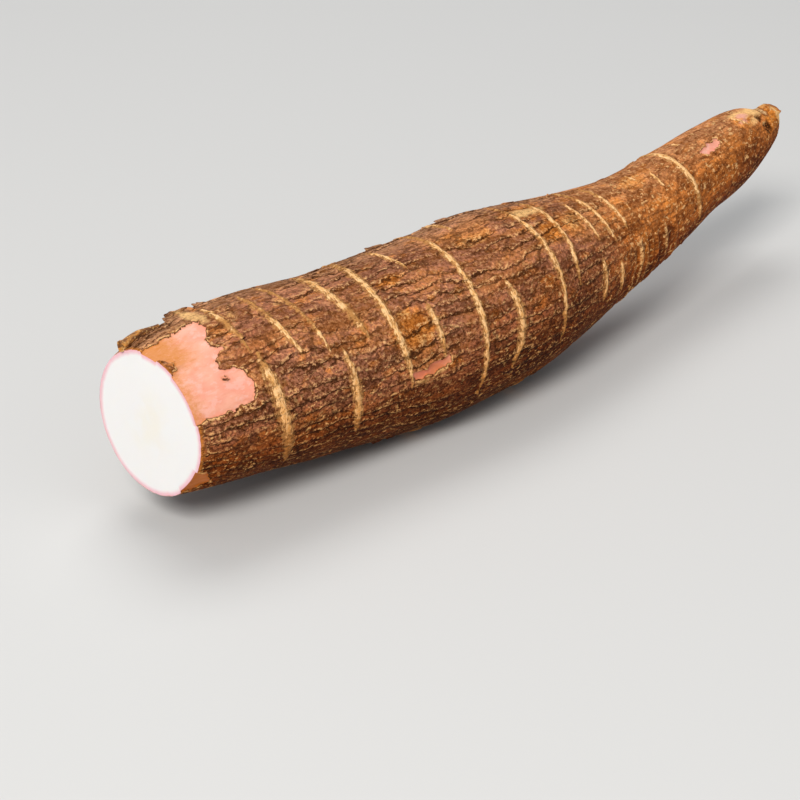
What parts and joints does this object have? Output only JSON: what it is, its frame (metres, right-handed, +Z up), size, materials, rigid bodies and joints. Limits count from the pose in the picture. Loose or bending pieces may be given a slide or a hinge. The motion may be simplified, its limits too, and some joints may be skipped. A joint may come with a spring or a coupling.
{
  "type": "cassava root",
  "caption": "Whole cassava root with bark on, thick at its sawn end and tapering in a slight bend to a snapped-off tail. It lies on its belly.",
  "frame": {"origin": "in the middle of the flat spot on the belly that the root rests on", "axes": "+X along the root from the sawn end to the tail, +Z up, +Y to the left of that"},
  "size_m": [0.3186, 0.065, 0.0611],
  "materials": {
    "cassava_skin": "rough, matt, ridged brown bark with pale corky scars, pink inner peel where it has come off, and white flesh at the cut"
  },
  "bodies": {
    "root": {"cassava_root": "cassava_skin"}
  },
  "joints": []
}
